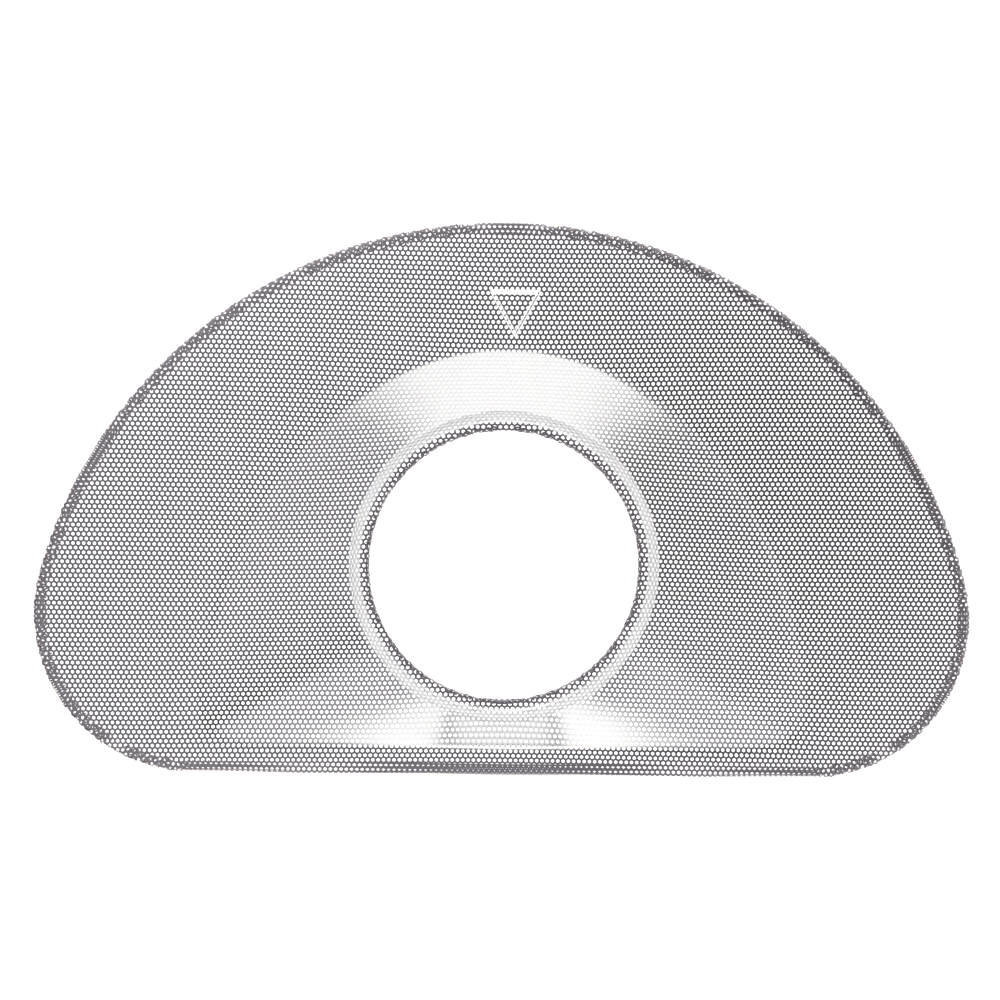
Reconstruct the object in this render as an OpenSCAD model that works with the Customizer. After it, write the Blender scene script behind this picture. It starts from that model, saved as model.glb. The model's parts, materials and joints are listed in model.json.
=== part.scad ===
// Filter plate of a dishwasher: one sheet of perforated stainless steel, pressed and hemmed.
// The origin is on the axis of the opening, at the underside of its lip, with +Z up.
// The straight edge runs along X on the -Y side, and the arch is on the +Y side.

/* [Plate] */
// Depth of the plate, from its straight edge to the top of its arch
plate_depth = 156.4; // [152:0.2:160]
// Radius of the big arch
arch_r = 136; // [133:0.5:139]
// Radius of the two corners beside the straight edge
corner_r = 45; // [40:1:50]
// Thickness of the sheet
sheet_t = 0.5; // [0.4:0.05:0.7]
// Width of the hem folded under the edge
hem_w = 3.3; // [2.5:0.1:4.5]
// Space left inside the hem's fold
hem_gap = 0.2; // [0.1:0.05:0.4]

/* [Dish] */
// Half width of the dish, at its straight crease
dish_half_w = 88; // [80:1:92]
// Reach of the dish's arched edge, from its straight crease
dish_reach = 114; // [108:1:120]
// Flat strip between the straight edge and the crease
crease_inset = 7.5; // [6:0.5:9]
// Drop from the plate's top face to the top of the neck
dish_drop = 10.2; // [8:0.2:12]
// Share of the slope taken up by the bend at its upper edge
bend_share = 0.15; // [0.1:0.05:0.4]

/* [Opening] */
// Radius of the opening that the filter cylinder passes through
bore_r = 39; // [37:0.5:40]
// Distance from the straight edge to the opening's axis
bore_inset = 58.6; // [57:0.2:62]
// Width of the flat lip round the opening
lip_w = 2.1; // [1.9:0.1:3]
// Width of the lip's edge that is folded under and pressed flat
lip_hem_w = 1.3; // [1:0.1:1.8]
// Width of the neck's S-shaped wall, seen from above
neck_w = 4; // [3:0.1:5]
// Height of the neck, from the lip's top face
neck_h = 3.8; // [2.6:0.2:4.6]

/* [Mark] */
// Width of the pressed triangle that shows which way round the plate goes
mark_w = 13.6; // [10:0.2:16]
// Height of the triangle, whose point is turned to the opening
mark_h = 11.6; // [8:0.2:13]
// Distance from the triangle's point to the opening's axis
mark_y = 65.4; // [64:0.2:70]
// Distance of the triangle from the plate's middle line
mark_x = 2.4; // [0:0.2:4]
// Width of the triangle's pressed line
mark_line = 1; // [0.8:0.1:1.4]
// Depth of the triangle's pressed line
mark_sink = 0.3; // [0.2:0.05:0.35]

/* [Perforation] */
// Spacing of the drawn holes: the sheet's own 1.5 is too fine to draw, and seven of it make one step
hole_pitch = 10.5; // [10:0.5:15]
// Width of a drawn hole, across its flats
hole_w = 7; // [5:0.1:7.5]
// Least web between a drawn hole and the hem, the neck or the triangle
hole_margin = 0.8; // [0.6:0.1:2]

/* [Hidden] */

// Steps of the plate's round stretches, in degrees
arch_step = 3;
corner_step = 5;
// Steps round the dish, in degrees, and the sharpness of its two corners
dish_step = 6;
dish_corner = 14;
// Stops of the slope's rings: close together in the bend, then one straight run down to the neck
slope_stops = [0, bend_share / 2, bend_share, 1];
// Stops of the neck's rings, and the steepest fall that the slope brings to it
neck_stops = [0.25, 0.5, 0.75, 1];
neck_start = 0.6;
// Step that eases the outside of the hem's fold
fold_round = 0.15;
// How far cutters run past the faces that they cut
past = 1;

lip_top = 2 * sheet_t;
neck_top = lip_top + neck_h;
plate_top = neck_top + dish_drop;
lip_r = bore_r + lip_w;
neck_r = lip_r + neck_w;
hem_t = 2 * sheet_t + hem_gap;

edge_y = -bore_inset;
arch_y = edge_y + plate_depth - arch_r;
corner_y = edge_y + corner_r;
corner_x = sqrt(pow(arch_r - corner_r, 2) - pow(corner_y - arch_y, 2));
tangent_a = atan2(corner_y - arch_y, corner_x);
crease_y = edge_y + crease_inset;

// The slope's underside stands out this far from its top face, so the sheet keeps its thickness
wall_shift = 0.4 * sheet_t;

// Distance from the opening's axis to the dish's arched edge and to its crease, at an angle
function ellipse_r(a) =
    let (p = pow(cos(a) / dish_half_w, 2) + pow(sin(a) / dish_reach, 2),
         q = -crease_y * sin(a) / pow(dish_reach, 2),
         s = pow(crease_y / dish_reach, 2) - 1)
    (-q + sqrt(q * q - p * s)) / p;
function crease_r(a) = sin(a) < -0.1 ? crease_y / sin(a) : 10 * dish_reach;

// The dish's edge is the nearer of the two, with the corners between them rounded
function dish_r(a) = pow(pow(ellipse_r(a), -dish_corner) + pow(crease_r(a), -dish_corner), -1 / dish_corner);

// Share of the drop reached at a share of the slope: a bend, then straight down to the neck
function drop_share(u) = u < bend_share
    ? u * u / (bend_share * (2 - bend_share))
    : (2 * u - bend_share) / (2 - bend_share);

// One ring of the dish at share u of the slope, pushed out by a margin and lowered by a drop
function dish_ring(u, out, down) = [
    for (a = [0 : dish_step : 360 - dish_step])
        let (r = dish_r(a) * (1 - u) + neck_r * u + out)
        [r * cos(a), r * sin(a), plate_top - down - dish_drop * drop_share(u)]
];

// Fall of the slope where it meets the neck, and height of the neck over the lip at share v of its width
function slope_fall(a) = min(neck_start, dish_drop * 2 / (2 - bend_share) / (dish_r(a) - neck_r));
function neck_rise(a, v) = max(0, neck_h - v * neck_w * slope_fall(a)) * (1 - v * v * (3 - 2 * v));

// One ring of the neck, and all the rings from the dish's edge down to the lip
function neck_ring(v, out, down) = [
    for (a = [0 : dish_step : 360 - dish_step])
        let (r = neck_r - neck_w * v + out)
        [r * cos(a), r * sin(a), lip_top + neck_rise(a, v) - down]
];
function dish_rings(out, down) = concat(
    [for (u = slope_stops) dish_ring(u, out, down)],
    [for (v = neck_stops) neck_ring(v, out, down)]
);

function raised(ring, up) = [for (p = ring) [p.x, p.y, p.z + up]];

// Distance of a point inside the plate from the plate's edge
function edge_gap(p) =
    atan2(p.y - arch_y, abs(p.x)) > tangent_a
        ? min(arch_r - norm([p.x, p.y - arch_y]), p.y - edge_y)
        : abs(p.x) > corner_x
            ? corner_r - norm([abs(p.x) - corner_x, p.y - corner_y])
            : p.y - edge_y;

// How far a point lies outside the dish's edge, and whether it lies on the pressed triangle
function dish_gap(p) = norm(p) - dish_r(atan2(p.y, p.x));
function on_mark(p, reach) =
    abs(p.x - mark_x) < mark_w / 2 + reach && p.y > mark_y - reach && p.y < mark_y + mark_h + reach;

// Centres of the drawn holes, in staggered rows parallel to the straight edge
row_gap = hole_pitch * sqrt(3) / 2;
hole_reach = hole_w / sqrt(3) + hole_margin;
first_row = ceil((edge_y + hem_w) / row_gap);
last_row = floor((edge_y + plate_depth - hem_w) / row_gap);
last_col = floor(arch_r / hole_pitch);
hole_spots = [
    for (row = [first_row : last_row], col = [-last_col : last_col])
        let (p = [(col + (row % 2 == 0 ? 0 : 0.5)) * hole_pitch, row * row_gap])
        if (edge_gap(p) > hem_w + hole_reach && !on_mark(p, hole_reach))
            p
];
flat_spots = [for (p = hole_spots) if (dish_gap(p) > hole_reach) p];
dish_spots = [for (p = hole_spots) if (dish_gap(p) <= hole_reach && norm(p) > neck_r + hole_reach) p];

// Solid between rings of equally many points, from the top ring to the bottom one
module loft(rings) {
    n = len(rings[0]);
    last = len(rings) - 1;
    sides = [
        for (k = [0 : last - 1], i = [0 : n - 1])
            let (j = (i + 1) % n)
            each [[k * n + i, k * n + j, (k + 1) * n + j], [k * n + i, (k + 1) * n + j, (k + 1) * n + i]]
    ];
    caps = [[for (i = [n - 1 : -1 : 0]) i], [for (i = [0 : n - 1]) last * n + i]];
    polyhedron([for (ring = rings) each ring], concat(sides, caps));
}

// Points of a round stretch of the outline, about a centre, without the last one, where the next begins
function arc(centre, radius, from, to, step) =
    let (n = ceil((to - from) / step))
    [for (i = [0 : n - 1]) let (a = from + (to - from) * i / n) centre + radius * [cos(a), sin(a)]];

// Outline of the plate, drawn in from its edge by a margin
module plate_outline(inset) {
    polygon(concat(
        arc([corner_x, corner_y], corner_r - inset, -90, tangent_a, corner_step),
        arc([0, arch_y], arch_r - inset, tangent_a, 180 - tangent_a, arch_step),
        arc([-corner_x, corner_y], corner_r - inset, 180 - tangent_a, 270, corner_step),
        [[-corner_x, edge_y + inset]]
    ));
}

// Band of one thickness along the plate's edge, between two insets
module edge_band(outer, inner, bottom, height) {
    translate([0, 0, bottom])
        linear_extrude(height)
            difference() {
                plate_outline(outer);
                plate_outline(inner);
            }
}

// Holes with six sides, their flats hole_w apart
module holes(spots) {
    for (p = spots)
        translate(p)
            circle(d = 2 * hole_w / sqrt(3), $fn = 6);
}

module flat_sheet() {
    translate([0, 0, plate_top - sheet_t])
        linear_extrude(sheet_t)
            difference() {
                plate_outline(fold_round);
                holes(flat_spots);
            }
}

// The sheet folded back under itself along the whole edge, with the fold's outside eased
module hem() {
    edge_band(0, sheet_t, plate_top - hem_t + fold_round, hem_t - 2 * fold_round);
    edge_band(fold_round, hem_w, plate_top - hem_t, sheet_t);
}

// Outside of the dish and the neck, as a solid down to the lip's underside
module dish_body() {
    rings = dish_rings(wall_shift, sheet_t);
    loft(concat([raised(rings[0], sheet_t / 2)], rings));
}

// Inside of the dish and the neck, open at the top
module dish_hollow() {
    rings = dish_rings(0, 0);
    loft(concat([raised(rings[0], past)], rings));
}

// Edge of the lip, folded under and pressed flat
module lip_hem() {
    cylinder(h = lip_top - sheet_t / 2, r = bore_r + lip_hem_w, $fn = 96);
}

module dish_holes() {
    translate([0, 0, neck_top - past])
        linear_extrude(dish_drop + 2 * past)
            holes(dish_spots);
}

module bore() {
    translate([0, 0, -past])
        cylinder(h = plate_top, r = bore_r, $fn = 96);
}

// Outline of the pressed triangle, pointing at the opening, drawn in by a margin
module mark_triangle(inset) {
    slant = atan2(mark_h, mark_w / 2);
    low = inset / cos(slant);
    half = (mark_h - inset - low) / tan(slant);
    translate([mark_x, mark_y])
        polygon([[0, low], [half, mark_h - inset], [-half, mark_h - inset]]);
}

module mark_outline(line) {
    difference() {
        mark_triangle(0);
        mark_triangle(line);
    }
}

module mark_groove() {
    translate([0, 0, plate_top - mark_sink])
        linear_extrude(mark_sink + past)
            mark_outline(mark_line);
}

module mark_ridge() {
    translate([0, 0, plate_top - sheet_t - mark_sink])
        linear_extrude(mark_sink + sheet_t / 2)
            mark_outline(mark_line);
}

module filter_plate() {
    color([0.72, 0.71, 0.75])
        difference() {
            union() {
                flat_sheet();
                hem();
                dish_body();
                lip_hem();
                mark_ridge();
            }
            dish_hollow();
            bore();
            mark_groove();
            dish_holes();
        }
}

filter_plate();
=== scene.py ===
"""Looks of a dishwasher's filter plate: fine perforated stainless sheet, pressed and hemmed."""

import sys
import json
import logging
import math
from dataclasses import dataclass, field
from enum import Enum
from typing import Any, NamedTuple

import bpy
import numpy as np
from mathutils import Matrix, Vector


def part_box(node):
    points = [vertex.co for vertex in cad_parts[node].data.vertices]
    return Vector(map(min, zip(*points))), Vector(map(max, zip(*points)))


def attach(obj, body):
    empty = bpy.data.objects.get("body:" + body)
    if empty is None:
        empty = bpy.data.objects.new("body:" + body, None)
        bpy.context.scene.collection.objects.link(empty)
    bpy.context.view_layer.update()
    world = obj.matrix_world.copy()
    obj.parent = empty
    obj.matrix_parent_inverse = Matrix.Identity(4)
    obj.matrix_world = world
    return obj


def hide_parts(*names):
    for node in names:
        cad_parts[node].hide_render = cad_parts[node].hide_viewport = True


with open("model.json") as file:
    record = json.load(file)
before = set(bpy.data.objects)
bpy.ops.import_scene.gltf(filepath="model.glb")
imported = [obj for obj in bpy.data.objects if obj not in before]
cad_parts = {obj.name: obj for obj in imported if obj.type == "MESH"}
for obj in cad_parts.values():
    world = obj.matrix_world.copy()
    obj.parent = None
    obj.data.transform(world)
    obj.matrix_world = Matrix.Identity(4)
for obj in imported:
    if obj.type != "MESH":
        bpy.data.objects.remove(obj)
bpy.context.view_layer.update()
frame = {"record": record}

MM = 0.001
NODE = "filter_plate"
BODY = "root"

# What the meshes carry: the flat blank as a UV map, the sheet's outward direction, and two
# masks for the finish: one of painted light over the shaded hem and lip, and one of a painted
# highlight along the pressed mark.
BLANK_MAP = "blank"
OUTWARD = "outward"
FOLD_PAINTED_LIGHT = "folded"
MARK_PAINTED_HIGHLIGHT = "marked"

# The perforation tree's inputs for the zone that it lays, and for the one that it leaves out.
LAID = "Laid"
SPARED = "Spared"
ZONE_SIDES = ("Low X", "High X", "Low Y", "High Y")

# The Mix node's colour sockets go by number, because its other kinds share their names.
MIX_COLOURS = (6, 7)
MIX_RESULT = 2

Colour = tuple[float, float, float]
Socket = bpy.types.NodeSocket
Sockets = bpy.types.NodeOutputs
Feed = Socket | float | tuple[float, ...]

log = logging.getLogger("filter_plate")


def spaced(start: float, end: float, count: int) -> np.ndarray:
    """Gives evenly spaced values past the start, up to and with the end."""
    return np.linspace(start, end, count + 1)[1:]


def link(name: str, data: bpy.types.ID) -> bpy.types.Object:
    """Makes an object and links it to the scene.

    Args:
        name: The object's name.
        data: Its mesh or camera.

    Returns:
        The object.
    """
    made = bpy.data.objects.new(name, data)
    bpy.context.scene.collection.objects.link(made)
    return made


@dataclass(frozen=True)
class Step:
    """A smooth step from the low level to the high one, as a value goes from start to end."""

    start: float
    end: float
    low: float
    high: float


class Tree:
    """A node tree under construction, with short calls for its nodes and links."""

    def __init__(self, tree: bpy.types.NodeTree) -> None:
        """Keeps the tree that the calls add to."""
        self.tree = tree

    def add(self, kind: str, inputs: dict[str | int, Any] | None = None,
            **settings: Any) -> bpy.types.Node:
        """Adds one node, with its settings and its inputs.

        Args:
            kind: The node's type, as Blender names it.
            inputs: For each input, by name or number, a value or the socket that feeds it.
            settings: The node's own settings.

        Returns:
            The new node.
        """
        node = self.tree.nodes.new(kind)
        for key, value in settings.items():
            setattr(node, key, value)
        for key, value in (inputs or {}).items():
            if isinstance(value, Socket):
                self.tree.links.new(value, node.inputs[key])
            else:
                node.inputs[key].default_value = value
        return node

    def math(self, operation: str, *values: Feed) -> Socket:
        """Adds a Math node on the values, in order, and returns its output."""
        return self.add("ShaderNodeMath", dict(enumerate(values)), operation=operation).outputs[0]

    def vector(self, operation: str, first: Feed, second: Feed, output: str) -> Socket:
        """Adds a Vector Math node on two vectors and returns the named output."""
        pair = {0: first, 1: second}
        return self.add("ShaderNodeVectorMath", pair, operation=operation).outputs[output]

    def band(self, value: Socket, step: Step) -> Socket:
        """Adds a smooth step of a value.

        Args:
            value: The value's socket.
            step: The step's ends and levels.

        Returns:
            The level's socket.
        """
        ends = {"From Min": step.start, "From Max": step.end}
        levels = {"To Min": step.low, "To Max": step.high}
        return self.add("ShaderNodeMapRange", {"Value": value, **ends, **levels},
                        interpolation_type="SMOOTHSTEP").outputs[0]

    def spread(self, value: Socket, low: float, high: float) -> Socket:
        """Adds a straight line from a low level at 0 to a high one at 1 and returns its output."""
        levels = {"To Min": low, "To Max": high}
        return self.add("ShaderNodeMapRange", {"Value": value, **levels}).outputs[0]

    def blend(self, factor: Socket, first: Colour | Socket, second: Colour | Socket) -> Socket:
        """Adds a mix of two colours and returns its output.

        Args:
            factor: The socket that drives the mix, from 0 for the first to 1 for the second.
            first: The first colour, or its socket.
            second: The second colour, or its socket.

        Returns:
            The mixed colour's socket.
        """
        inputs: dict[str | int, Any] = {0: factor}
        for place, colour in zip(MIX_COLOURS, (first, second)):
            inputs[place] = (*colour, 1.0) if isinstance(colour, tuple) else colour
        return self.add("ShaderNodeMix", inputs, data_type="RGBA").outputs[MIX_RESULT]

    def attribute(self, name: str, kind: str = "FLOAT_VECTOR") -> Socket:
        """Adds a mesh attribute as a field and returns its output."""
        inputs = {"Name": name}
        return self.add("GeometryNodeInputNamedAttribute", inputs, data_type=kind).outputs[0]

    def store(self, geometry: Socket, name: str, value: Socket, kind: str = "FLOAT") -> Socket:
        """Adds the storing of a field on every point.

        Args:
            geometry: The geometry.
            name: The attribute that keeps the field.
            value: The field.
            kind: Its data type.

        Returns:
            The geometry with the attribute.
        """
        inputs = {"Geometry": geometry, "Name": name, "Value": value}
        return self.add("GeometryNodeStoreNamedAttribute", inputs,
                        data_type=kind, domain="POINT").outputs[0]

    def drop(self, geometry: Socket, selection: Socket) -> Socket:
        """Adds the deletion of the selected points and returns the geometry."""
        inputs = {"Geometry": geometry, "Selection": selection}
        return self.add("GeometryNodeDeleteGeometry", inputs, domain="POINT", mode="ALL").outputs[0]

    def place(self, geometry: Socket, position: Socket) -> Socket:
        """Adds the move of every point to its position and returns the geometry."""
        inputs = {"Geometry": geometry, "Position": position}
        return self.add("GeometryNodeSetPosition", inputs).outputs[0]

    def weld(self, geometry: Socket, distance: Socket) -> Socket:
        """Adds the joining of points that lie close together and returns the geometry."""
        inputs = {"Geometry": geometry, "Distance": distance}
        return self.add("GeometryNodeMergeByDistance", inputs).outputs[0]


@dataclass(frozen=True)
class RowCounts:
    """How many rows of points each part of the pressed form has, from the hem to the lip."""

    hem: int = 6
    fold: int = 13
    rim: int = 6
    approach: int = 7
    slope: int = 37
    neck: int = 16
    lip: int = 6
    lip_fold: int = 8
    lip_hem: int = 3
    eased_above: int = 3  # rows that are eased above the joint of slope and neck ...
    eased_below: int = 2  # ... and below it
    hem_margin: int = 2  # flat rows that still get the hem's painted light
    painted_light_fade: int = 3  # rows over which the painted light of the hem and the lip fades


class Row(NamedTuple):
    """One row of points round the form: in plan, in height, and in plan on the flat blank."""

    plan: np.ndarray
    height: np.ndarray
    blank: np.ndarray


@dataclass
class PressedForm:
    """The sheet after pressing, as one smooth surface that knows where each spot lay before.

    Sizes are in millimetres. The origin is on the opening's axis at the lip's underside, as in
    the frame. Every column of points lies on a ray from that axis.
    """

    arch_r: float = 136.0  # the arched edge
    corner_r: float = 45.0  # the rounded corners between the arched and the straight edge
    sheet_t: float = 0.5
    hem_w: float = 3.3  # how far the hem reaches in from the edge
    hem_gap: float = 0.2  # between the sheet and its hem
    dish_half_w: float = 88.0  # the dish's arched edge is half an ellipse: half its width ...
    dish_reach: float = 114.0  # ... and how far it reaches from the crease
    crease_inset: float = 7.5  # from the straight edge to the dish's straight crease
    bend_share: float = 0.08  # the share of a slope over which it bends down
    dish_corner: float = 14.0  # how sharply the dish's edge meets the crease
    lip_w: float = 2.1  # the flat lip round the opening
    lip_hem_w: float = 1.3  # how far the lip's edge is turned back under it
    neck_w: float = 4.0  # the neck between the slopes and the lip
    neck_h: float = 3.8
    neck_start: float = 0.6  # the neck leaves the slopes no steeper than this
    flat_rim: float = 5.0  # the sheet is flat at least this far in from its edge
    draw_in: float = 0.8  # how far the sheet was drawn in towards the dish
    draw_from: float = -0.85  # rays that point down more than this weren't drawn in at all ...
    draw_over: float = 0.5  # ... and those this much further up were drawn in freely
    bow: float = 0.8  # how far the rows of holes bow ...
    bow_w: float = 60.0  # ... and over what width
    trim: float = 0.4  # the free edges of the hem and the lip reach this much further under
    dent: float = 0.03  # about how high the dents are
    dent_w: float = 11.0  # how wide they are ...
    dent_spread: tuple[float, float] = (0.7, 1.6)  # ... times a share in this range
    dent_waves: int = 16  # how many waves they are made of
    dent_seed: int = 7
    dent_past: float = 8.0  # how far the dents go past the dish's half width
    dent_fades: tuple[float, float, float] = (5.0, 20.0, 3.0)  # at the neck, outwards, at the edge
    least_fall: float = 1e-3  # rays that point down less than this miss the straight edge ...
    crease_fall: float = 0.1  # ... and less than this miss the crease
    far: float = 1e6  # the distance to what a ray doesn't meet
    columns: int = 1440
    rows: RowCounts = RowCounts()
    bore_r: float = field(init=False)
    plate_top: float = field(init=False)
    plate_depth: float = field(init=False)
    edge_y: float = field(init=False)
    lip_top: float = field(init=False)
    neck_top: float = field(init=False)
    lip_r: float = field(init=False)
    neck_r: float = field(init=False)
    fold_r: float = field(init=False)
    arch_y: float = field(init=False)
    corner_x: float = field(init=False)
    corner_y: float = field(init=False)
    crease_y: float = field(init=False)
    rays: np.ndarray = field(init=False)

    def __post_init__(self) -> None:
        """Reads the overall sizes from the frame and works out the places that hang on them."""
        low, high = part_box(NODE)
        mounts = {mount["name"]: mount for mount in frame["record"]["mounts"]}
        self.bore_r = mounts["filter_opening"]["dims"]["r_mm"]
        self.plate_top = high[2] / MM
        self.plate_depth = (high[1] - low[1]) / MM
        self.edge_y = low[1] / MM
        self.lip_top = 2 * self.sheet_t
        self.neck_top = self.lip_top + self.neck_h
        self.lip_r = self.bore_r + self.lip_w
        self.neck_r = self.lip_r + self.neck_w
        self.fold_r = self.sheet_t + self.hem_gap / 2
        self.arch_y = self.edge_y + self.plate_depth - self.arch_r
        self.corner_y = self.edge_y + self.corner_r
        corner_rise = self.corner_y - self.arch_y
        self.corner_x = math.sqrt((self.arch_r - self.corner_r) ** 2 - corner_rise**2)
        self.crease_y = self.edge_y + self.crease_inset
        angles = np.linspace(0.0, 2 * math.pi, self.columns, endpoint=False)
        self.rays = np.stack([np.cos(angles), np.sin(angles)])

    def circle_hit(self, centre: tuple[float, float], radius: float) -> np.ndarray:
        """Finds where each ray leaves a circle.

        Args:
            centre: The circle's centre.
            radius: Its radius.

        Returns:
            The distance along each ray, or a far one where the ray misses.
        """
        along = self.rays[0] * centre[0] + self.rays[1] * centre[1]
        inner = along**2 - (centre[0] ** 2 + centre[1] ** 2 - radius**2)
        return np.where(inner > 0, along + np.sqrt(np.maximum(inner, 0)), self.far)

    def outline(self, inset: float) -> tuple[np.ndarray, np.ndarray]:
        """Finds the plate's outline, drawn in by a margin, on every ray.

        Args:
            inset: The margin.

        Returns:
            The points, and the outline's outward direction at each, both 2 by columns.
        """
        cos, sin = self.rays
        reach = (self.edge_y + inset) / np.minimum(sin, -self.least_fall)
        straight = (sin < -self.least_fall) & (np.abs(reach * cos) <= self.corner_x)
        arch = self.circle_hit((0.0, self.arch_y), self.arch_r - inset)
        hit = self.rays * arch
        lean = np.arctan2(hit[1] - self.arch_y, np.abs(hit[0]))
        on_arch = lean >= math.atan2(self.corner_y - self.arch_y, self.corner_x)
        side = np.sign(cos)
        right = self.circle_hit((self.corner_x, self.corner_y), self.corner_r - inset)
        left = self.circle_hit((-self.corner_x, self.corner_y), self.corner_r - inset)
        corner = np.where(side > 0, right, left)
        points = self.rays * np.where(straight, reach, np.where(on_arch, arch, corner))
        corner_out = points - np.stack([side * self.corner_x, np.full(self.columns, self.corner_y)])
        arch_out = points - np.array([[0.0], [self.arch_y]])
        out = np.where(on_arch, arch_out, corner_out)
        out = np.where(straight, np.array([[0.0], [-1.0]]), out)
        return points, out / np.linalg.norm(out, axis=0)

    def dish_edge(self) -> np.ndarray:
        """Finds the distance to the dish's edge on every ray.

        Returns:
            The nearer of the arched edge and the straight crease, rounded where they meet.
        """
        cos, sin = self.rays
        reach = self.dish_reach
        p = (cos / self.dish_half_w) ** 2 + (sin / reach) ** 2
        q = -self.crease_y * sin / reach**2
        s = (self.crease_y / reach) ** 2 - 1
        arched = (-q + np.sqrt(q * q - p * s)) / p
        crease = self.crease_y / np.minimum(sin, -self.crease_fall)
        straight = np.where(sin < -self.crease_fall, crease, self.far)
        power = self.dish_corner
        return (arched**-power + straight**-power) ** (-1 / power)

    def drop_share(self, share: np.ndarray) -> np.ndarray:
        """Gives how much of the drop is reached at a share of the slope: a bend, then straight.

        Args:
            share: From 0 at the dish's edge to 1 at the neck.

        Returns:
            From 0 at the plate to 1 at the neck's top.
        """
        bend = self.bend_share
        curved = share**2 / (bend * (2 - bend))
        return np.where(share < bend, curved, (2 * share - bend) / (2 - bend))

    def drawn(self) -> np.ndarray:
        """Gives how freely each ray was drawn in: 1 on the slopes, 0 on the wall by the crease."""
        return np.clip((self.rays[1] - self.draw_from) / self.draw_over, 0.0, 1.0)

    def rim_rows(self) -> list[Row]:
        """Builds the rows of the hem and the flat rim, from the hem's free edge inwards.

        Returns:
            The rows.
        """
        rim, out = self.outline(self.flat_rim)
        edge = rim + out * self.flat_rim
        start = edge - out * self.fold_r
        middle_r = self.fold_r - self.sheet_t / 2
        low = self.plate_top - 2 * self.fold_r
        level = np.ones(self.columns)
        made = []
        for inset in np.linspace(self.hem_w + self.trim, self.fold_r, self.rows.hem + 1)[:-1]:
            far = math.pi * middle_r + inset - self.fold_r
            made.append(Row(edge - out * inset, low * level, start + out * far))
        for turn in np.linspace(math.pi, 0.0, self.rows.fold):
            plan = start + out * self.fold_r * math.sin(turn)
            height = self.plate_top - self.fold_r + self.fold_r * math.cos(turn)
            made.append(Row(plan, height * level, start + out * middle_r * turn))
        for inset in spaced(self.fold_r, self.flat_rim, self.rows.rim):
            plan = edge - out * inset
            made.append(Row(plan, self.plate_top * level, plan))
        return made

    def dish_rows(self) -> list[Row]:
        """Builds the rows from the flat rim to the turned-under edge of the lip.

        Returns:
            The rows.
        """
        rim, _ = self.outline(self.flat_rim)
        dish = self.dish_edge()
        pull = self.rays * self.draw_in * self.drawn()
        level = np.ones(self.columns)
        made = []
        for share in spaced(0.0, 1.0, self.rows.approach + 1)[:-1]:
            plan = rim * (1 - share) + self.rays * dish * share
            made.append(Row(plan, self.plate_top * level, plan + pull * share**2))
        radii, heights = self.section(dish)
        blank = self.blank_radii(dish, radii, heights)
        for radius, height, flat in zip(radii, heights, blank):
            made.append(Row(self.rays * radius, height, self.rays * flat))
        return made

    def section(self, dish: np.ndarray) -> tuple[np.ndarray, np.ndarray]:
        """Gives the section of the slope, the neck and the lip on every ray.

        Args:
            dish: The distance to the dish's edge on every ray.

        Returns:
            The radii and the heights, both rows by columns.
        """
        level = np.ones(self.columns)
        drop = self.plate_top - self.neck_top
        made = []
        for share in np.linspace(0.0, 1.0, self.rows.slope):
            height = self.plate_top - drop * self.drop_share(np.array(share))
            made.append((dish * (1 - share) + self.neck_r * share, height * level))
        slope = drop * 2 / (2 - self.bend_share) / (dish - self.neck_r)
        fall = np.minimum(self.neck_start, slope)
        for share in spaced(0.0, 1.0, self.rows.neck):
            rise = np.maximum(0.0, self.neck_h - share * self.neck_w * fall)
            height = self.lip_top + rise * (1 - share * share * (3 - 2 * share))
            made.append(((self.neck_r - self.neck_w * share) * level, height))
        made += [(radius * level, height * level) for radius, height in self.lip_section()]
        radii, heights = (np.array(values) for values in zip(*made))
        joint = np.arange(self.rows.slope - self.rows.eased_above,
                          self.rows.slope + self.rows.eased_below)
        for values in (radii, heights):
            values[joint] = (values[joint - 1] + 2 * values[joint] + values[joint + 1]) / 4
        return radii, heights

    def lip_section(self) -> list[tuple[float, float]]:
        """Gives the section of the flat lip and its turned-under edge.

        Returns:
            The radius and the height of each row.
        """
        fold = self.sheet_t
        made = []
        for share in spaced(0.0, 1.0, self.rows.lip):
            made.append((self.lip_r - (self.lip_w - fold) * share, self.lip_top))
        for turn in spaced(0.0, math.pi, self.rows.lip_fold):
            radius = self.bore_r + fold - fold * math.sin(turn)
            made.append((radius, self.lip_top - fold + fold * math.cos(turn)))
        for share in spaced(0.0, 1.0, self.rows.lip_hem):
            made.append((self.bore_r + fold + (self.lip_hem_w + self.trim - fold) * share, 0.0))
        return made

    def blank_radii(self, dish: np.ndarray, radii: np.ndarray, heights: np.ndarray) -> np.ndarray:
        """Gives where the rows of the dish lay on the blank before it was pressed.

        Args:
            dish: The distance to the dish's edge on every ray.
            radii: The pressed radii, rows by columns.
            heights: The pressed heights, rows by columns.

        Returns:
            The radii on the blank, rows by columns.
        """
        across = np.abs(np.diff(radii, axis=0))
        length = np.hypot(across, np.diff(heights, axis=0))
        on_slope = (np.arange(len(across)) < self.rows.slope - 1)[:, None]
        share = np.where(on_slope, self.drawn(), 1.0)
        step = across * (1 - share) + length * share
        start = dish + self.draw_in * self.drawn()
        return start - np.concatenate([np.zeros((1, self.columns)), np.cumsum(step, axis=0)])

    def bowed(self, blank: np.ndarray) -> np.ndarray:
        """Bows the rows of holes as the pressing did: down over the arch, up along the edge.

        Args:
            blank: Points on the blank, points by 2.

        Returns:
            The same points, read off the rows as they lay before.
        """
        x, y = blank.T
        along = np.sin(np.clip(y / self.bow_w, -1, 1) * math.pi / 2)
        pull = self.bow * np.exp(-(x / self.bow_w) ** 2) * along
        return np.column_stack([x, y + pull])

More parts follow.
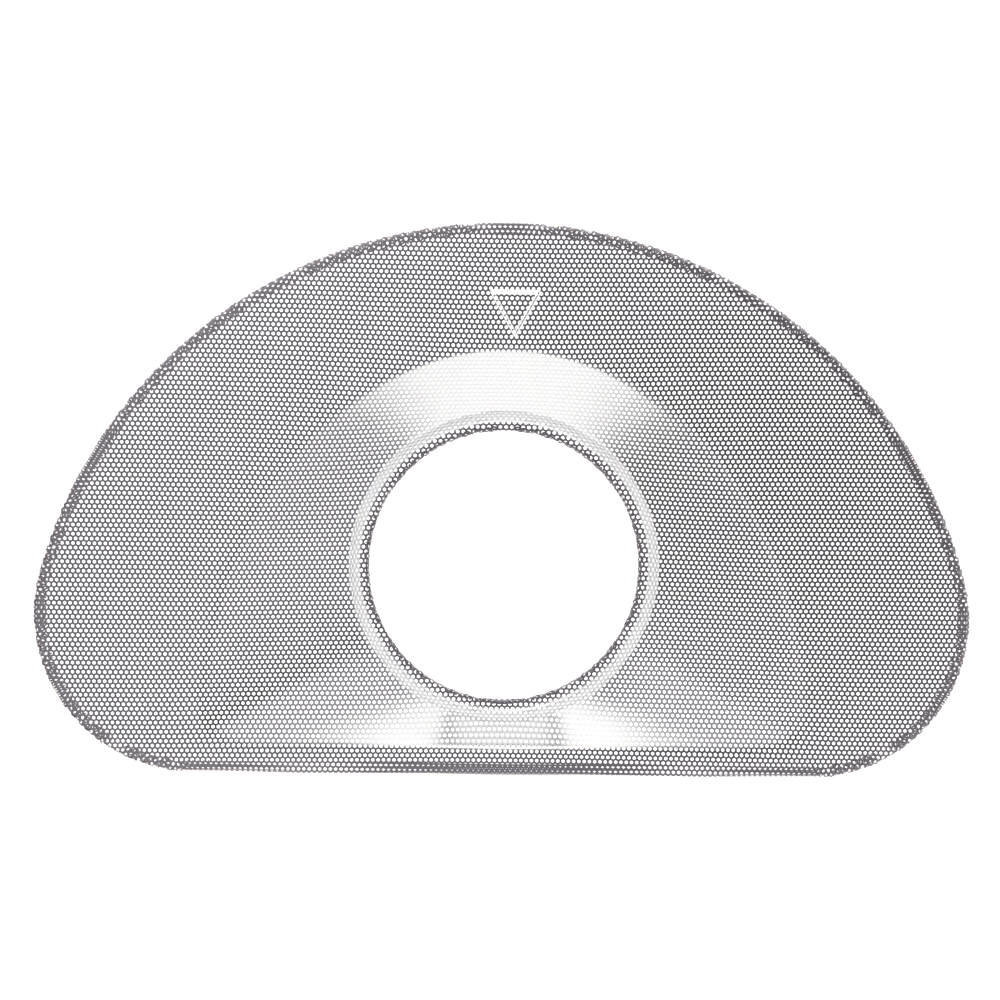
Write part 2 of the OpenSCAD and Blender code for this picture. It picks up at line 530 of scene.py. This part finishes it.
    def dented(self, points: np.ndarray) -> np.ndarray:
        """Adds the slight unevenness that the pressing leaves in and round the dish.

        Args:
            points: The pressed form's points, points by 3.

        Returns:
            The same points, raised or lowered a little.
        """
        rng = np.random.default_rng(self.dent_seed)
        heading = rng.uniform(0, 2 * math.pi, self.dent_waves)
        phase = rng.uniform(0, 2 * math.pi, self.dent_waves)
        width = self.dent_w * rng.uniform(*self.dent_spread, self.dent_waves)
        waves = 2 * math.pi / width * np.stack([np.cos(heading), np.sin(heading)])
        crest = 2 * self.dent  # of every wave, because their mean stays well below it
        lift = np.sin(points[:, :2] @ waves + phase).mean(axis=1) * crest
        reach = np.hypot(points[:, 0], points[:, 1])
        at_neck, outwards, at_edge = self.dent_fades
        past_neck = np.clip((reach - self.neck_r) / at_neck, 0, 1)
        in_dish = np.clip((self.dish_half_w + self.dent_past - reach) / outwards, 0, 1)
        past_edge = np.clip((points[:, 1] - self.edge_y - self.flat_rim) / at_edge, 0, 1)
        return points + np.outer(lift * (past_neck * in_dish) * past_edge, [0, 0, 1])

    def folded(self, count: int) -> np.ndarray:
        """Tells which rows get the painted light that lifts the shaded hem and lip.

        Args:
            count: How many rows the form has in all.

        Returns:
            From 1 in the hem and the lip to 0 between them, for every point.
        """
        row = np.arange(count)
        hem_end = self.rows.hem + self.rows.fold + self.rows.hem_margin
        lip_start = count - self.rows.lip - self.rows.lip_fold - self.rows.lip_hem - 1
        hem = np.clip(1 - (row - hem_end) / self.rows.painted_light_fade, 0, 1)
        lip = np.clip((row - lip_start) / self.rows.painted_light_fade, 0, 1)
        return np.repeat(np.maximum(hem, lip), self.columns)

    def build(self) -> bpy.types.Object:
        """Makes the surface as an object, with the blank's coordinates as its UV map.

        Returns:
            The object, which carries the perforation tree and isn't shown itself.
        """
        made = self.rim_rows() + self.dish_rows()
        points = np.concatenate([np.column_stack([*row.plan, row.height]) for row in made])
        blank = self.bowed(np.concatenate([row.blank.T for row in made]))
        ring = np.arange(self.columns)
        onward = (ring + 1) % self.columns
        quads = np.concatenate([
            np.column_stack([ring, onward, onward + self.columns, ring + self.columns])
            + k * self.columns
            for k in range(len(made) - 1)
        ])
        mesh = bpy.data.meshes.new("pressed_form")
        mesh.from_pydata((self.dented(points) * MM).tolist(), [], quads.tolist())
        # the mask of the painted light over the shaded hem and lip
        mask = mesh.attributes.new(FOLD_PAINTED_LIGHT, "FLOAT", "POINT")
        mask.data.foreach_set("value", self.folded(len(made)))
        layer = mesh.uv_layers.new(name=BLANK_MAP)
        layer.data.foreach_set("uv", (blank[quads.ravel()] * MM).astype(np.float32).ravel())
        mesh.shade_smooth()
        log.info("pressed form: %d rows, %d faces", len(made), len(quads))
        return link("pressed_form", mesh)


class Stretch(Enum):
    """The stretches of the sheet, meshed apart to keep each mesh small, and the mark's finer."""

    LEFT = "left"
    MIDDLE = "middle"
    RIGHT = "right"
    MARK = "mark"


@dataclass(frozen=True)
class Zone:
    """A rectangle of the blank, in millimetres along X and Y. Without sides it takes in nothing."""

    low_x: float = 0.0
    high_x: float = 0.0
    low_y: float = 0.0
    high_y: float = 0.0

    def inputs(self, label: str) -> dict[str, float]:
        """Gives the sides in metres, under the names of the tree's inputs with this label."""
        sides = (self.low_x, self.high_x, self.low_y, self.high_y)
        return {f"{label} {side}": value * MM for side, value in zip(ZONE_SIDES, sides)}


@dataclass
class Perforation:
    """The sheet's staggered holes, made by a geometry node tree that lays them over the form.

    Sizes are in millimetres. The mark is a triangle that points down, pressed as a line.
    """

    sheet_t: float
    pitch: float = 1.5
    hole_w: float = 0.95  # across the flats, which gives a round hole of 1 mm's area
    hole_sides: int = 6  # a multiple of six
    row_shift: float = 0.878  # of the whole field towards the arch
    margin: float = 8.0  # that the field takes in past the plate, for its hem
    seam_x: float = 46.5  # where the middle stretch ends on either side
    mark_w: float = 15.4
    mark_h: float = 13.8
    mark_x: float = 1.75  # the triangle's tip
    mark_y: float = 65.1
    mark_line: float = 1.3
    mark_sink: float = 0.48
    mark_cuts: int = 2  # how often the cells under the mark are split, so that it is smooth
    mark_highlight_step: Step = Step(1.1, 0.9, 0.0, 1.0)  # the painted highlight, by shares of half the line
    cell_weld: float = 0.02  # points of two cells are joined within this share of the pitch ...
    wall_weld: float = 0.002  # ... and points of the sheet's two faces within this one

    def zones(self) -> dict[Stretch, Zone]:
        """Gives the zone of each stretch of the sheet.

        Returns:
            The zones, of which the mark's lies inside the middle one.
        """
        low, high = (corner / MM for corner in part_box(NODE))
        bottom, top = low.y - self.margin, high.y + self.margin
        half = self.mark_w / 2 + self.mark_line
        mark_low = self.mark_y - self.mark_line
        mark_high = self.mark_y + self.mark_h + self.mark_line
        return {
            Stretch.LEFT: Zone(low.x - self.margin, -self.seam_x, bottom, top),
            Stretch.MIDDLE: Zone(-self.seam_x, self.seam_x, bottom, top),
            Stretch.RIGHT: Zone(self.seam_x, high.x + self.margin, bottom, top),
            Stretch.MARK: Zone(self.mark_x - half, self.mark_x + half, mark_low, mark_high),
        }

    def corner(self, number: int, hole: int | None = None) -> np.ndarray:
        """Gives a corner of the cell's own hole, or of one of its six neighbours.

        Args:
            number: The corner's number, anticlockwise from the right.
            hole: The neighbour's number, counted alike, or None for the cell's own hole.

        Returns:
            The corner's place.
        """
        turn = 2 * math.pi / self.hole_sides
        size = self.hole_w / 2 / math.cos(turn / 2)
        angle = (number + 0.5) * turn
        place = size * np.array([math.cos(angle), math.sin(angle)])
        if hole is None:
            return place
        heading = hole * math.pi / 3
        return place + self.pitch * np.array([math.cos(heading), math.sin(heading)])

    def web_cell(self) -> bpy.types.Object:
        """Makes the metal round one hole: three webs, and the two knots between them.

        Returns:
            The object whose mesh is copied to every hole.
        """
        step = self.hole_sides // 6
        webs, knots = range(3), range(2)
        faces = []
        for k in webs:
            near, far = k * step, (k + 3) * step
            faces.append([self.corner(near - 1), self.corner(far, k),
                          self.corner(far - 1, k), self.corner(near)])
        for k in knots:
            own = [self.corner(k * step + j) for j in range(step)]
            first = [self.corner((k + 2) * step + j, k) for j in range(step)]
            second = [self.corner((k + 4) * step + j, k + 1) for j in range(step)]
            faces.append(own[::-1] + first[::-1] + second[::-1])
        points = [(*(corner * MM), 0.0) for face in faces for corner in face]
        starts = np.cumsum([0, *(len(face) for face in faces)])
        numbers = [list(range(start, end)) for start, end in zip(starts, starts[1:])]
        mesh = bpy.data.meshes.new("web_cell")
        mesh.from_pydata(points, [], numbers)
        return link("web_cell", mesh)

    def mark_edges(self) -> bpy.types.Object:
        """Makes the middle of the mark's line, as three edges on the plate's top.

        Returns:
            The object that the tree measures distances to.
        """
        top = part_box(NODE)[1][2]
        inset = self.mark_line / 2
        slant = math.atan2(self.mark_h, self.mark_w / 2)
        low = self.mark_y + inset / math.cos(slant)
        high = self.mark_y + self.mark_h - inset
        half = (high - low) / math.tan(slant)
        flat = [(self.mark_x, low), (self.mark_x + half, high), (self.mark_x - half, high)]
        mesh = bpy.data.meshes.new("mark_line")
        mesh.from_pydata([(x * MM, y * MM, top) for x, y in flat], [(0, 1), (1, 2), (2, 0)], [])
        return link("mark_line", mesh)

    def tree(self) -> bpy.types.NodeTree:
        """Builds the tree: a staggered field of web cells, pressed onto the form and thickened.

        Returns:
            The geometry node tree, with named inputs for its sizes.
        """
        made = bpy.data.node_groups.new("perforated_sheet", "GeometryNodeTree")
        socket = made.interface.new_socket
        socket("Geometry", in_out="INPUT", socket_type="NodeSocketGeometry")
        zones = [f"{label} {side}" for label in (LAID, SPARED) for side in ZONE_SIDES]
        for name in ("Pitch", "Row Shift", "Thickness", "Line Width", "Line Depth", *zones):
            socket(name, in_out="INPUT", socket_type="NodeSocketFloat")
        socket("Cuts", in_out="INPUT", socket_type="NodeSocketInt")
        for name in ("Web Cell", "Mark Line"):
            socket(name, in_out="INPUT", socket_type="NodeSocketObject")
        socket("Finish", in_out="INPUT", socket_type="NodeSocketMaterial")
        socket("Geometry", in_out="OUTPUT", socket_type="NodeSocketGeometry")
        t = Tree(made)
        given = t.add("NodeGroupInput").outputs
        normal = t.add("GeometryNodeInputNormal").outputs["Normal"]
        form = t.store(given["Geometry"], OUTWARD, normal, "FLOAT_VECTOR")
        pressed = self.press(t, form, self.cells(t, given))
        solid = self.thicken(t, given, self.sink_mark(t, given, pressed))
        realized = t.add("GeometryNodeRealizeInstances", {0: solid}).outputs[0]
        dressed = {"Geometry": realized, "Material": given["Finish"]}
        t.add("NodeGroupOutput", {0: t.add("GeometryNodeSetMaterial", dressed).outputs[0]})
        return made

    def index_range(self, t: Tree, given: Sockets, label: str, row: Socket) -> tuple[Socket, ...]:
        """Works out which columns and rows of holes a zone takes in.

        Args:
            t: The tree under construction.
            given: The tree's inputs.
            label: The zone's label among the inputs.
            row: The rows' spacing.

        Returns:
            The first column, the column past the last, the first row and the last row.
        """
        low_x, high_x, low_y, high_y = (given[f"{label} {side}"] for side in ZONE_SIDES)
        columns = [t.math("CEIL", t.math("DIVIDE", x, given["Pitch"])) for x in (low_x, high_x)]
        first_row = t.math("FLOOR", t.math("DIVIDE", low_y, row))
        return *columns, first_row, t.math("CEIL", t.math("DIVIDE", high_y, row))

    def cells(self, t: Tree, given: Sockets) -> Socket:
        """Lays the web cells in staggered rows over the blank, and joins them into one sheet.

        Args:
            t: The tree under construction.
            given: The tree's inputs.

        Returns:
            The flat perforated sheet.
        """
        pitch = given["Pitch"]
        row = t.math("MULTIPLY", pitch, math.sqrt(3) / 2)
        first_col, past_col, first_row, last_row = self.index_range(t, given, LAID, row)
        cols = t.math("SUBTRACT", past_col, first_col)
        rows = t.math("ADD", t.math("SUBTRACT", last_row, first_row), 1.0)
        width, height = (t.math("SUBTRACT", count, 1.0) for count in (cols, rows))
        grid = t.add("GeometryNodeMeshGrid", {
            "Size X": width, "Size Y": height, "Vertices X": cols, "Vertices Y": rows,
        }).outputs[0]
        spot = t.add("GeometryNodeInputPosition").outputs[0]
        x, y, _ = t.add("ShaderNodeSeparateXYZ", {0: spot}).outputs
        from_left = t.math("ROUND", t.math("ADD", x, t.math("MULTIPLY", width, 0.5)))
        from_below = t.math("ROUND", t.math("ADD", y, t.math("MULTIPLY", height, 0.5)))
        column = t.math("ADD", first_col, from_left)
        line = t.math("ADD", first_row, from_below)
        kept = t.drop(grid, self.spared(t, given, row, column, line))
        stagger = t.math("MULTIPLY", t.math("FLOORED_MODULO", line, 2.0), 0.5)
        centre = t.add("ShaderNodeCombineXYZ", {
            0: t.math("MULTIPLY", t.math("ADD", column, stagger), pitch),
            1: t.math("ADD", t.math("MULTIPLY", line, row), given["Row Shift"]),
        }).outputs[0]
        cell = t.add("GeometryNodeObjectInfo", {"Object": given["Web Cell"]}).outputs["Geometry"]
        laid = {"Points": t.place(kept, centre), "Instance": cell}
        copies = t.add("GeometryNodeInstanceOnPoints", laid).outputs[0]
        loose = t.add("GeometryNodeRealizeInstances", {0: copies}).outputs[0]
        joined = t.weld(loose, t.math("MULTIPLY", pitch, self.cell_weld))
        cut = {"Mesh": joined, "Level": given["Cuts"]}
        return t.add("GeometryNodeSubdivideMesh", cut).outputs[0]

    def spared(self, t: Tree, given: Sockets, row: Socket, column: Socket, line: Socket) -> Socket:
        """Tells which holes lie in the zone that another stretch makes.

        Args:
            t: The tree under construction.
            given: The tree's inputs.
            row: The rows' spacing.
            column: Each hole's column.
            line: Each hole's row.

        Returns:
            The selection.
        """
        first_col, past_col, first_row, last_row = self.index_range(t, given, SPARED, row)
        tests = [
            t.math("GREATER_THAN", column, t.math("SUBTRACT", first_col, 0.5)),
            t.math("LESS_THAN", column, t.math("SUBTRACT", past_col, 0.5)),
            t.math("GREATER_THAN", line, t.math("SUBTRACT", first_row, 0.5)),
            t.math("LESS_THAN", line, t.math("ADD", last_row, 0.5)),
        ]
        return t.math("MULTIPLY", t.math("MULTIPLY", *tests[:2]), t.math("MULTIPLY", *tests[2:]))

    def sample(self, t: Tree, form: Socket, value: Socket, kind: str = "FLOAT_VECTOR") -> Sockets:
        """Reads a field of the form at each spot of the blank.

        Args:
            t: The tree under construction.
            form: The form's geometry.
            value: The field to read there.
            kind: The field's data type.

        Returns:
            The value, and whether the spot lies on the form at all.
        """
        here = t.add("GeometryNodeInputPosition").outputs[0]
        inputs = {"Mesh": form, "Value": value, "UV Map": t.attribute(BLANK_MAP), "Sample UV": here}
        return t.add("GeometryNodeSampleUVSurface", inputs, data_type=kind).outputs

    def press(self, t: Tree, form: Socket, flat: Socket) -> Socket:
        """Moves the flat sheet onto the form, and drops what lies past its edges.

        Args:
            t: The tree under construction.
            form: The form's geometry.
            flat: The flat perforated sheet.

        Returns:
            The pressed sheet, without thickness.
        """
        outward = self.sample(t, form, t.attribute(OUTWARD))
        # reads the mask of the painted light over the shaded hem and lip
        folded = self.sample(t, form, t.attribute(FOLD_PAINTED_LIGHT, "FLOAT"), "FLOAT")
        masked = t.store(flat, FOLD_PAINTED_LIGHT, folded["Value"])
        stored = t.store(masked, OUTWARD, outward["Value"], "FLOAT_VECTOR")
        past = t.add("FunctionNodeBooleanMath", {0: outward["Is Valid"]}, operation="NOT")
        place = self.sample(t, form, t.add("GeometryNodeInputPosition").outputs[0])
        return t.place(t.drop(stored, past.outputs[0]), place["Value"])

    def sink_mark(self, t: Tree, given: Sockets, sheet: Socket) -> Socket:
        """Sinks the mark's line into the sheet, and masks it for the finish's painted highlight.

        Args:
            t: The tree under construction.
            given: The tree's inputs.
            sheet: The pressed sheet.

        Returns:
            The marked sheet.
        """
        lines = t.add("GeometryNodeObjectInfo", {"Object": given["Mark Line"]}).outputs["Geometry"]
        near = t.add("GeometryNodeProximity", {0: lines}, target_element="EDGES")
        half = t.math("MULTIPLY", given["Line Width"], 0.5)
        share = t.math("DIVIDE", near.outputs["Distance"], half)
        inside = t.math("MAXIMUM", t.math("SUBTRACT", 1.0, share), 0.0)
        depth = t.math("MULTIPLY", inside, given["Line Depth"])
        sink = t.add("ShaderNodeCombineXYZ", {2: t.math("MULTIPLY", depth, -1.0)}).outputs[0]
        # the mask of the mark's painted highlight: full across the line, fading at its edges
        marked = {"Geometry": t.store(sheet, MARK_PAINTED_HIGHLIGHT, t.band(share, self.mark_highlight_step)), "Offset": sink}
        return t.add("GeometryNodeSetPosition", marked).outputs[0]

    def thicken(self, t: Tree, given: Sockets, sheet: Socket) -> Socket:
        """Gives the sheet its thickness, with a wall round every hole.

        Args:
            t: The tree under construction.
            given: The tree's inputs.
            sheet: The pressed sheet.

        Returns:
            The closed sheet.
        """
        inward = t.vector("MULTIPLY", t.attribute(OUTWARD), (-1.0, -1.0, -1.0), "Vector")
        turned = t.add("GeometryNodeFlipFaces", {0: sheet}).outputs[0]
        wall = {"Mesh": turned, "Offset": inward, "Offset Scale": given["Thickness"],
                "Individual": False}
        back = t.add("GeometryNodeExtrudeMesh", wall, mode="FACES").outputs[0]
        both = t.add("GeometryNodeJoinGeometry")
        for face in (sheet, back):
            t.tree.links.new(face, both.inputs[0])
        return t.weld(both.outputs[0], t.math("MULTIPLY", given["Pitch"], self.wall_weld))

    def apply(self, form: bpy.types.Object, tree: bpy.types.NodeTree, stretch: Stretch,
              values: dict[str, Any]) -> bpy.types.Object:
        """Runs the tree on the form for one stretch and keeps the result as a plain mesh.

        Args:
            form: The pressed form.
            tree: The perforation tree.
            stretch: The stretch to make.
            values: The objects and the material that the tree takes, by input name.

        Returns:
            The stretch's object.
        """
        zones = self.zones()
        given = {
            "Pitch": self.pitch * MM,
            "Row Shift": self.row_shift * MM,
            "Thickness": self.sheet_t * MM,
            "Line Width": self.mark_line * MM,
            "Line Depth": self.mark_sink * MM,
            "Cuts": self.mark_cuts if stretch is Stretch.MARK else 0,
            **zones[stretch].inputs(LAID),
            **(zones[Stretch.MARK] if stretch is Stretch.MIDDLE else Zone()).inputs(SPARED),
            **values,
        }
        modifier = form.modifiers.new("perforation", "NODES")
        modifier.node_group = tree
        for item in tree.interface.items_tree:
            if item.in_out == "INPUT" and item.name in given:
                modifier[item.identifier] = given[item.name]
        bpy.context.view_layer.update()
        evaluated = form.evaluated_get(bpy.context.evaluated_depsgraph_get())
        mesh = bpy.data.meshes.new_from_object(evaluated)
        form.modifiers.remove(modifier)
        mesh.name = f"sheet_{stretch.value}"
        return link(mesh.name, mesh)


@dataclass(frozen=True)
class SteelFinish:
    """A rolled stainless finish with fine grain along X, with painted light that lifts the shaded
    folds and a painted highlight in the mark.
    """

    name: str = "stainless_sheet"
    colour: Colour = (0.64, 0.63, 0.64)
    # painted light: a lighter colour over the hem and the lip, where the folded under-layer sits in
    # shade
    fold_painted_light: Colour = (0.87, 0.84, 0.84)
    # painted highlight: the pressed mark's line is coloured near white
    mark_painted_highlight: Colour = (0.95, 0.95, 0.95)
    roughness: float = 0.22
    grain: float = 0.05  # how much the roughness goes up and down
    grain_scale: tuple[float, float, float] = (60.0, 900.0, 900.0)  # per metre of each axis
    grain_detail: float = 3.0

    def material(self) -> bpy.types.Material:
        """Builds the finish.

        Returns:
            The material.
        """
        made = bpy.data.materials.new(self.name)
        made.use_nodes = True
        t = Tree(made.node_tree)
        shader = made.node_tree.nodes["Principled BSDF"]
        shader.inputs["Metallic"].default_value = 1.0
        folded, marked = (t.add("ShaderNodeAttribute", attribute_name=name).outputs["Fac"]
                          for name in (FOLD_PAINTED_LIGHT, MARK_PAINTED_HIGHLIGHT))
        # painted light lifts the shaded folds, and the mark gets a painted highlight
        plain = t.blend(folded, self.colour, self.fold_painted_light)
        t.tree.links.new(t.blend(marked, plain, self.mark_painted_highlight), shader.inputs["Base Color"])
        spot = t.add("ShaderNodeTexCoord").outputs["Object"]
        drawn = t.add("ShaderNodeMapping", {"Vector": spot, "Scale": self.grain_scale}).outputs[0]
        lines = {"Vector": drawn, "Scale": 1.0, "Detail": self.grain_detail}
        noise = t.add("ShaderNodeTexNoise", lines).outputs["Fac"]
        rough = t.spread(noise, self.roughness - self.grain, self.roughness + self.grain)
        t.tree.links.new(rough, shader.inputs["Roughness"])
        return made


@dataclass
class FilterPlate:
    """The filter plate: the pressed form, its perforation and its finish."""

    form: PressedForm = field(default_factory=PressedForm)
    perforation: Perforation = field(init=False)
    finish: SteelFinish = SteelFinish()
    sharp_from: float = 40.0  # degrees

    def __post_init__(self) -> None:
        """Makes the perforation for the form's own thickness."""
        self.perforation = Perforation(self.form.sheet_t)

    def build(self) -> list[bpy.types.Object]:
        """Makes the sheet's stretches and hands them to the frame.

        Returns:
            The pieces.
        """
        form = self.form.build()
        tree = self.perforation.tree()
        helpers = {
            "Web Cell": self.perforation.web_cell(),
            "Mark Line": self.perforation.mark_edges(),
        }
        values = {**helpers, "Finish": self.finish.material()}
        pieces = [self.perforation.apply(form, tree, stretch, values) for stretch in Stretch]
        for spare in (form, *helpers.values()):
            bpy.data.objects.remove(spare, do_unlink=True)
        bpy.data.node_groups.remove(tree)
        for piece in pieces:
            self.settle(piece)
        return pieces

    def settle(self, piece: bpy.types.Object) -> None:
        """Args:
            piece: The stretch's object.
        """
        mesh = piece.data
        for name in (OUTWARD, BLANK_MAP):
            if name in mesh.attributes:
                mesh.attributes.remove(mesh.attributes[name])
        mesh.shade_smooth()
        mesh.set_sharp_from_angle(angle=math.radians(self.sharp_from))
        mesh.calc_loop_triangles()
        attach(piece, BODY)
        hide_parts(NODE)
        counts = len(mesh.vertices), len(mesh.loop_triangles)
        log.info("%s: %d vertices, %d triangles", piece.name, *counts)


@dataclass
class Studio:
    """The floor, the light and the camera.

    The floor is in metres and the camera's places are in millimetres. The light is a pale
    surround whose strength hangs on the direction: X to the right, Y to the back and Z up.
    """

    floor_size: float = 6.0
    floor_shade: Colour = (0.8, 0.8, 0.8)
    floor_roughness: float = 0.7
    floor_glow: float = 0.75  # as the steel sees it; the camera sees plain white
    dim_spot: tuple[float, float, float] = (0.16, 0.01, 0.987)  # the dimmest direction
    from_dim: Step = Step(0.0, 0.42, 0.03, 0.25)  # overhead, by the distance from that direction
    to_left: Step = Step(-0.15, -0.4, 1.0, 0.46)  # its share towards the left, by X
    to_back: Step = Step(0.06, 0.22, 0.0, 0.145)  # towards the back, by Y
    low_back: Step = Step(0.55, 0.92, 0.0, 1.3)  # lower down at the back, by Y ...
    back_right: Step = Step(-0.05, 0.25, 1.0, 0.78)  # ... and its share towards the right, by X
    horizon: Step = Step(0.56, 0.22, 0.0, 1.45)  # low down all round, by Z
    window: Step = Step(-0.61, -0.81, 0.0, 1.5)  # in front, by Y
    tint: Step = Step(0.2, 0.9, 0.0, 1.0)  # from the dim colour to the bright one, by strength
    dim_colour: Colour = (1.0, 0.955, 1.09)
    bright_colour: Colour = (1.0, 1.0, 0.97)
    camera_height: float = 501.1  # above the plate's top
    foot: tuple[float, float] = (-14.3, 44.5)  # the spot below the camera
    aim: tuple[float, float] = (-1.8, 19.8)  # the spot that it looks at
    lens: float = 64.1
    sensor_w: float = 36.0
    clip: tuple[float, float] = (0.01, 50.0)  # metres
    roll: float = 0.86  # degrees

    def floor(self) -> None:
        """Makes the pale floor, which the camera sees as white and the steel in its own shade."""
        half = self.floor_size / 2
        corners = [(-half, -half, 0), (half, -half, 0), (half, half, 0), (-half, half, 0)]
        mesh = bpy.data.meshes.new("floor")
        mesh.from_pydata(corners, [], [(0, 1, 2, 3)])
        made = link("floor", mesh)
        material = bpy.data.materials.new("pale_floor")
        material.use_nodes = True
        t = Tree(material.node_tree)
        shader = material.node_tree.nodes["Principled BSDF"]
        shader.inputs["Base Color"].default_value = (*self.floor_shade, 1.0)
        shader.inputs["Roughness"].default_value = self.floor_roughness
        shader.inputs["Emission Color"].default_value = (1.0, 1.0, 1.0, 1.0)
        seen = t.add("ShaderNodeLightPath").outputs["Is Camera Ray"]
        t.tree.links.new(t.spread(seen, self.floor_glow, 1.0), shader.inputs["Emission Strength"])
        mesh.materials.append(material)

    def light(self) -> None:
        """Lights the scene: dim overhead, pale low down all round, and brightest in front."""
        world = bpy.data.worlds.new("studio")
        bpy.context.scene.world = world
        world.use_nodes = True
        t = Tree(world.node_tree)
        background = world.node_tree.nodes["Background"]
        towards = t.add("ShaderNodeTexCoord").outputs["Generated"]
        x, y, z = t.add("ShaderNodeSeparateXYZ", {0: towards}).outputs
        distance = t.vector("DISTANCE", towards, self.dim_spot, "Value")
        overhead = t.math("MULTIPLY", t.band(distance, self.from_dim), t.band(x, self.to_left))
        low_back = t.math("MULTIPLY", t.band(y, self.low_back), t.band(x, self.back_right))
        behind = t.math("ADD", t.band(y, self.to_back), low_back)
        ceiling = t.math("ADD", overhead, behind)
        sides = t.math("MAXIMUM", t.band(z, self.horizon), t.band(y, self.window))
        strength = t.math("MAXIMUM", ceiling, sides)
        colour = t.blend(t.band(strength, self.tint), self.dim_colour, self.bright_colour)
        t.tree.links.new(colour, background.inputs["Color"])
        t.tree.links.new(strength, background.inputs["Strength"])

    def camera(self) -> None:
        """Sets the camera above the plate, leaning a little from the back and the left."""
        data = bpy.data.cameras.new("camera")
        data.lens = self.lens
        data.sensor_width = self.sensor_w
        data.clip_start, data.clip_end = self.clip
        made = link("camera", data)
        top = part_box(NODE)[1][2]
        eye = Vector((self.foot[0] * MM, self.foot[1] * MM, top + self.camera_height * MM))
        look = Vector((self.aim[0] * MM, self.aim[1] * MM, top)) - eye
        back = -look.normalized()
        right = Vector((0, 1, 0)).cross(back).normalized()
        turn = Matrix((right, back.cross(right), back)).transposed().to_4x4()
        roll = Matrix.Rotation(math.radians(self.roll), 4, "Z")
        made.matrix_world = Matrix.Translation(eye) @ turn @ roll
        bpy.context.scene.camera = made

    def build(self) -> None:
        """Makes the whole studio."""
        self.floor()
        self.light()
        self.camera()
        bpy.context.scene.view_settings.view_transform = "Standard"


def main() -> None:
    """Builds the studio and the plate, and reports each piece."""
    logging.basicConfig(level=logging.INFO, format="%(name)s: %(message)s", stream=sys.stdout)
    Studio().build()
    for piece in FilterPlate().build():
        log.info("made %s", piece.name)


if __name__ == "__main__":
    main()
